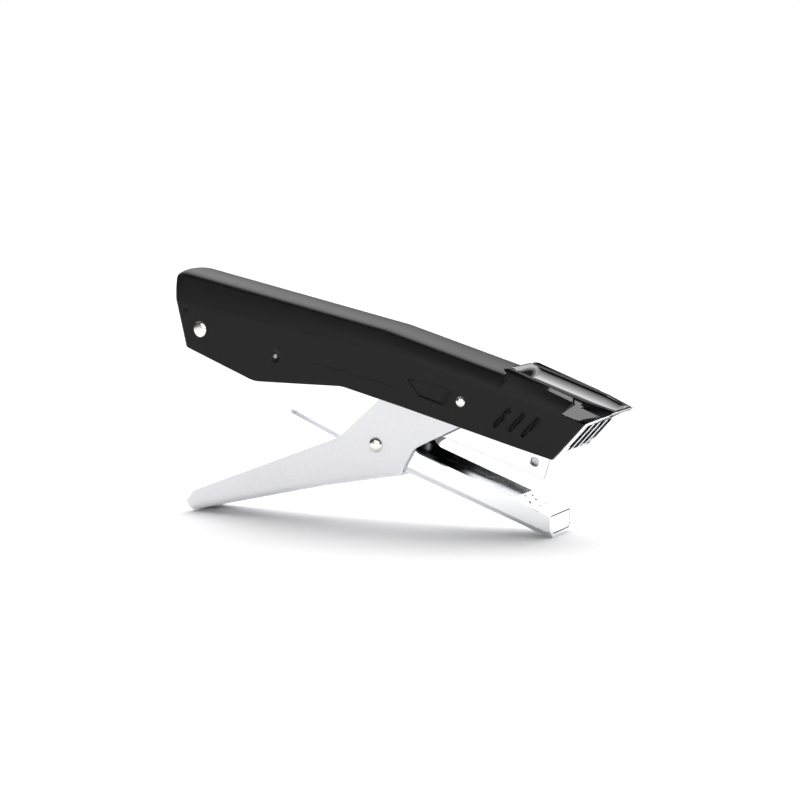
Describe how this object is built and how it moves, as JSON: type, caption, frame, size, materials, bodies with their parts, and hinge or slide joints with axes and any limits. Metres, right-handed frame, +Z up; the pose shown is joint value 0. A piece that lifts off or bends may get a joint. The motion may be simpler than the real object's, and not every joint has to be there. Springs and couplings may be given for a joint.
{
  "type": "plier stapler",
  "caption": "Hand-held plier stapler with a pressed steel cover handle, a pivoting lower handle, an anvil arm, a spring-loaded staple magazine and a sliding front cap.",
  "frame": {"origin": "on the table under the middle of the stapler's bounding box, standing open on the lower handle's tip and the anvil arm's front end", "axes": "+X along the stapler towards the jaws, +Y across it to its left side, +Z up"},
  "size_m": [0.1801, 0.0244, 0.0943],
  "materials": {
    "satin_black_steel": "satin black powder coat over pressed steel",
    "gloss_black": "high gloss black",
    "bright_chrome": "bright nickel-chrome plate",
    "silver_paint": "satin silver grey coating",
    "nickel": "turned, nickel plated",
    "zinc_steel": "bright zinc plated sheet",
    "spring_steel": "hardened spring steel",
    "staple_wire": "galvanised wire, glued in a strip",
    "black_nylon": "moulded black nylon"
  },
  "bodies": {
    "arm": {"anvil_arm": "bright_chrome", "anvil_plate": "bright_chrome", "rear_pivot_rivet": "nickel", "rear_pivot_bush": "zinc_steel", "rear_washers": "zinc_steel", "main_pivot_rivet": "nickel", "main_pivot_bush": "zinc_steel", "main_spring": "spring_steel"},
    "handle": {"lower_handle": "silver_paint"},
    "cover": {"cover": "satin_black_steel", "link_pin": "nickel", "magazine_pivot_pin": "nickel", "nose_liner": "zinc_steel", "driver_blade": "spring_steel", "driver_block": "zinc_steel", "magazine_spring": "spring_steel"},
    "slide": {"loading_slide": "gloss_black", "slide_guides": "zinc_steel", "front_grille": "bright_chrome"},
    "magazine": {"magazine": "bright_chrome", "magazine_front_plate": "bright_chrome", "staple_rail": "zinc_steel", "staple_strip": "staple_wire", "pusher_rod": "nickel", "spring_stop": "zinc_steel", "rod_holder": "zinc_steel", "pusher_spring": "spring_steel"},
    "pusher": {"pusher": "black_nylon"}
  },
  "joints": [
    {"name": "cover_hinge", "type": "hinge", "parent": "arm", "child": "cover", "pos_m": [-0.078, 0, 0.071], "axis": [0, 1, 0], "range_deg": [0, 6.4], "stiffness_Nm_per_rad": 3, "springref_deg": -22.92, "deforming": ["main_spring"]},
    {"name": "handle_hinge", "type": "hinge", "parent": "arm", "child": "handle", "pos_m": [-0.0025, 0, 0.0295], "axis": [0, 1, 0], "range_deg": [0, 17.3]},
    {"name": "magazine_hinge", "type": "hinge", "parent": "cover", "child": "magazine", "pos_m": [-0.044, 0, 0.061], "axis": [0, -1, 0], "range_deg": [0, 3.45], "deforming": ["magazine_spring"]},
    {"name": "loading_slide", "type": "slide", "parent": "cover", "child": "slide", "axis": [0.9403, 0, -0.3404], "range_m": [0, 0.016]},
    {"name": "pusher_slide", "type": "slide", "parent": "magazine", "child": "pusher", "axis": [-0.9472, 0, 0.3206], "range_m": [0, 0.04], "stiffness_N_per_m": 60, "springref_m": -0.03, "deforming": ["pusher_spring"]}
  ],
  "couplings": [
    {"joint": "handle_hinge", "follows": "cover_hinge", "ratio": 2.6902},
    {"joint": "magazine_hinge", "follows": "cover_hinge", "ratio": 0.53125}
  ]
}
